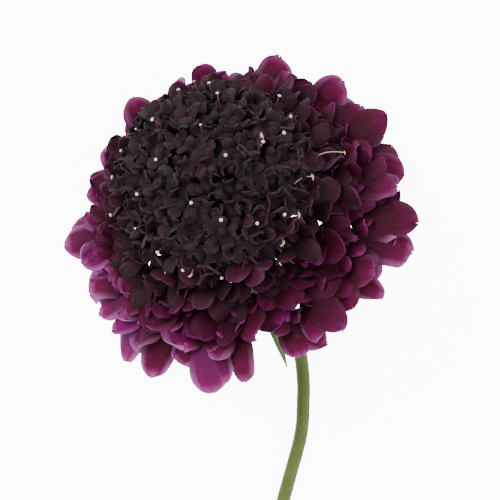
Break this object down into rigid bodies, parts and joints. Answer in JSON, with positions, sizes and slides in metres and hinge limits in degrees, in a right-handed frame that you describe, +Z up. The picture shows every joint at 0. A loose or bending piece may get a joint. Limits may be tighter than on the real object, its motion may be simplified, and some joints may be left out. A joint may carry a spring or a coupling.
{
  "type": "scabiosa flower",
  "caption": "Cut dark scabiosa flower lying on a table: domed near-black head with a rim of magenta petals, green bracts and a short green stem.",
  "frame": {"origin": "on the table, under the middle of the flower's bounding box", "axes": "+Y along the lying stem towards the head, +Z up from the table, +X to the right when seen from above with the head at the top"},
  "size_m": [0.0531, 0.1714, 0.0419],
  "materials": {
    "stem": "satin",
    "bract": "matt",
    "ray_petal": "velvety",
    "disc_petal": "velvety",
    "stigma": "matt"
  },
  "bodies": {
    "root": {"stem": "stem", "bracts": "bract", "ray_florets": "ray_petal", "disc_florets": "disc_petal"}
  },
  "joints": []
}
